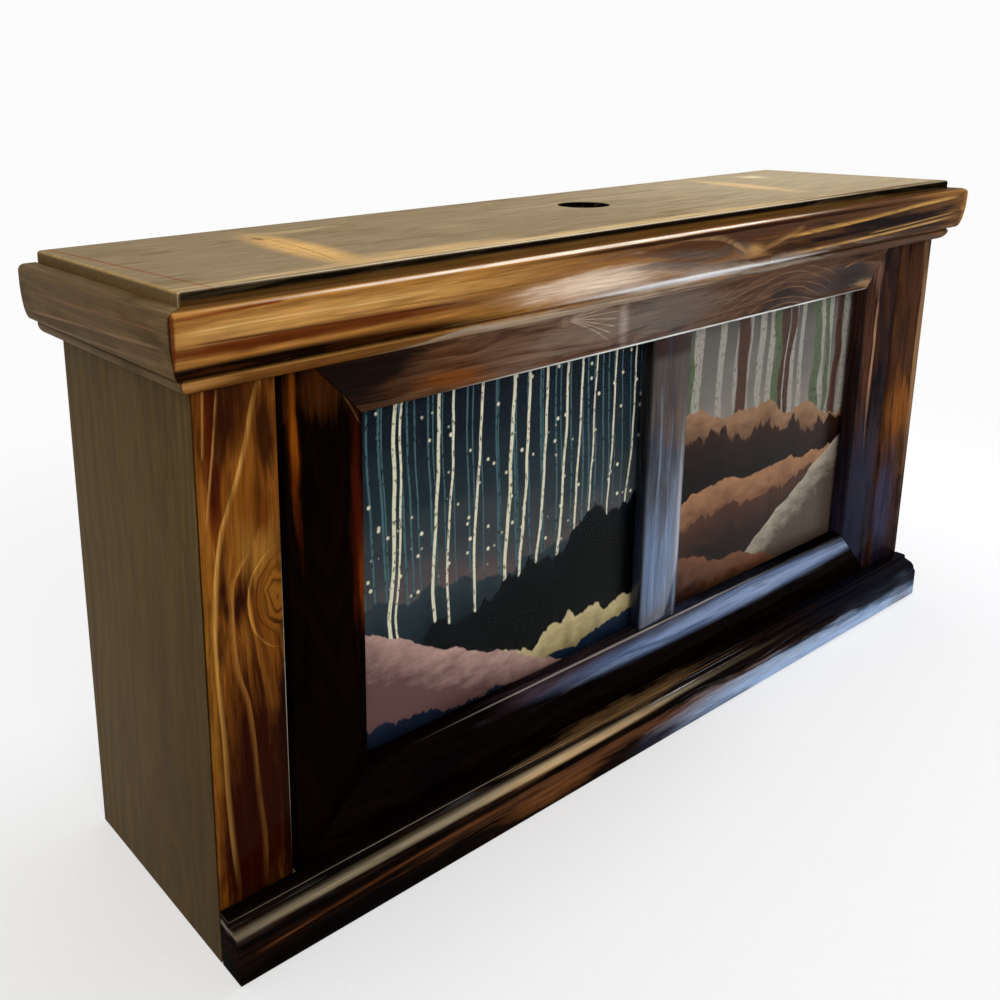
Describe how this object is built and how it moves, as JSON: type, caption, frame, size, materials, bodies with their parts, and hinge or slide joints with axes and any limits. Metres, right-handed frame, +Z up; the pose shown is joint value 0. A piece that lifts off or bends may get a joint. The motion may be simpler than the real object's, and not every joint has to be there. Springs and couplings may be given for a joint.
{
  "type": "double picture frame case",
  "caption": "Mantel-style wooden case with a double picture frame set into its front, a round drop-in hole in its top board and a hinged door at the back.",
  "frame": {"origin": "bottom centre of the object's bounding box, on the surface it stands on", "axes": "+X to the viewer's right along the width, the front with the pictures looks along -Y, +Z up"},
  "size_m": [0.6852, 0.169, 0.34],
  "materials": {
    "front_pine": "torched pine under gloss varnish",
    "side_pine": "olive-brown stained pine, satin",
    "top_pine": "grey-tan torched pine, satin",
    "inside_pine": "bare planed pine",
    "door_pine": "stained pine, satin",
    "glass": "clear float glass",
    "print_paper": "printed photo paper",
    "hardboard": "brown hardboard",
    "brass": "satin brass plate",
    "zinc_steel": "zinc-plated steel",
    "catch_plastic": "brown moulded plastic"
  },
  "bodies": {
    "case": {"left_side_panel": "side_pine", "right_side_panel": "side_pine", "left_face_stile": "front_pine", "right_face_stile": "front_pine", "base_face_rail": "front_pine", "bottom_board": "inside_pine", "left_batten": "inside_pine", "right_batten": "inside_pine", "stop_batten": "inside_pine", "top_board": "top_pine", "crown_front": "front_pine", "crown_left_return": "side_pine", "crown_right_return": "side_pine", "base_moulding": "front_pine", "frame_top_rail": "front_pine", "frame_bottom_rail": "front_pine", "frame_left_stile": "front_pine", "frame_right_stile": "front_pine", "mullion": "front_pine", "left_glass": "glass", "right_glass": "glass", "left_print": "print_paper", "right_print": "print_paper", "left_backing": "hardboard", "right_backing": "hardboard", "left_top_button_screw": "zinc_steel", "left_bottom_button_screw": "zinc_steel", "left_side_button_screw": "zinc_steel", "right_top_button_screw": "zinc_steel", "right_bottom_button_screw": "zinc_steel", "right_side_button_screw": "zinc_steel", "lower_hinge_case_leaf": "brass", "upper_hinge_case_leaf": "brass", "lower_hinge_pin": "zinc_steel", "upper_hinge_pin": "zinc_steel", "lower_case_leaf_lower_screw": "zinc_steel", "lower_case_leaf_upper_screw": "zinc_steel", "upper_case_leaf_lower_screw": "zinc_steel", "upper_case_leaf_upper_screw": "zinc_steel", "magnetic_catch": "catch_plastic", "catch_left_screw": "zinc_steel", "catch_right_screw": "zinc_steel"},
    "door": {"back_door": "door_pine", "door_knob": "door_pine", "knob_screw": "zinc_steel", "lower_hinge_door_leaf": "brass", "upper_hinge_door_leaf": "brass", "lower_door_leaf_lower_screw": "zinc_steel", "lower_door_leaf_upper_screw": "zinc_steel", "upper_door_leaf_lower_screw": "zinc_steel", "upper_door_leaf_upper_screw": "zinc_steel", "strike_plate": "zinc_steel", "strike_screw": "zinc_steel"},
    "left_top_turn": {"left_top_button": "zinc_steel"},
    "left_bottom_turn": {"left_bottom_button": "zinc_steel"},
    "left_side_turn": {"left_side_button": "zinc_steel"},
    "right_top_turn": {"right_top_button": "zinc_steel"},
    "right_bottom_turn": {"right_bottom_button": "zinc_steel"},
    "right_side_turn": {"right_side_button": "zinc_steel"}
  },
  "joints": [
    {"name": "door_hinge", "type": "hinge", "parent": "case", "child": "door", "pos_m": [0.30725, 0.0744, 0.16075], "axis": [0, 0, -1], "range_deg": [0, 120]},
    {"name": "left_top_turn_hinge", "type": "hinge", "parent": "case", "child": "left_top_turn", "pos_m": [-0.12175, -0.0472, 0.282], "axis": [0, 1, 0], "range_deg": [0, 90]},
    {"name": "left_bottom_turn_hinge", "type": "hinge", "parent": "case", "child": "left_bottom_turn", "pos_m": [-0.12175, -0.0472, 0.0575], "axis": [0, 1, 0], "range_deg": [0, 90]},
    {"name": "left_side_turn_hinge", "type": "hinge", "parent": "case", "child": "left_side_turn", "pos_m": [-0.249, -0.0472, 0.16975], "axis": [0, 1, 0], "range_deg": [0, 90]},
    {"name": "right_top_turn_hinge", "type": "hinge", "parent": "case", "child": "right_top_turn", "pos_m": [0.13125, -0.0472, 0.282], "axis": [0, 1, 0], "range_deg": [0, 90]},
    {"name": "right_bottom_turn_hinge", "type": "hinge", "parent": "case", "child": "right_bottom_turn", "pos_m": [0.13125, -0.0472, 0.0575], "axis": [0, 1, 0], "range_deg": [0, 90]},
    {"name": "right_side_turn_hinge", "type": "hinge", "parent": "case", "child": "right_side_turn", "pos_m": [0.249, -0.0472, 0.16975], "axis": [0, 1, 0], "range_deg": [0, 90]}
  ]
}
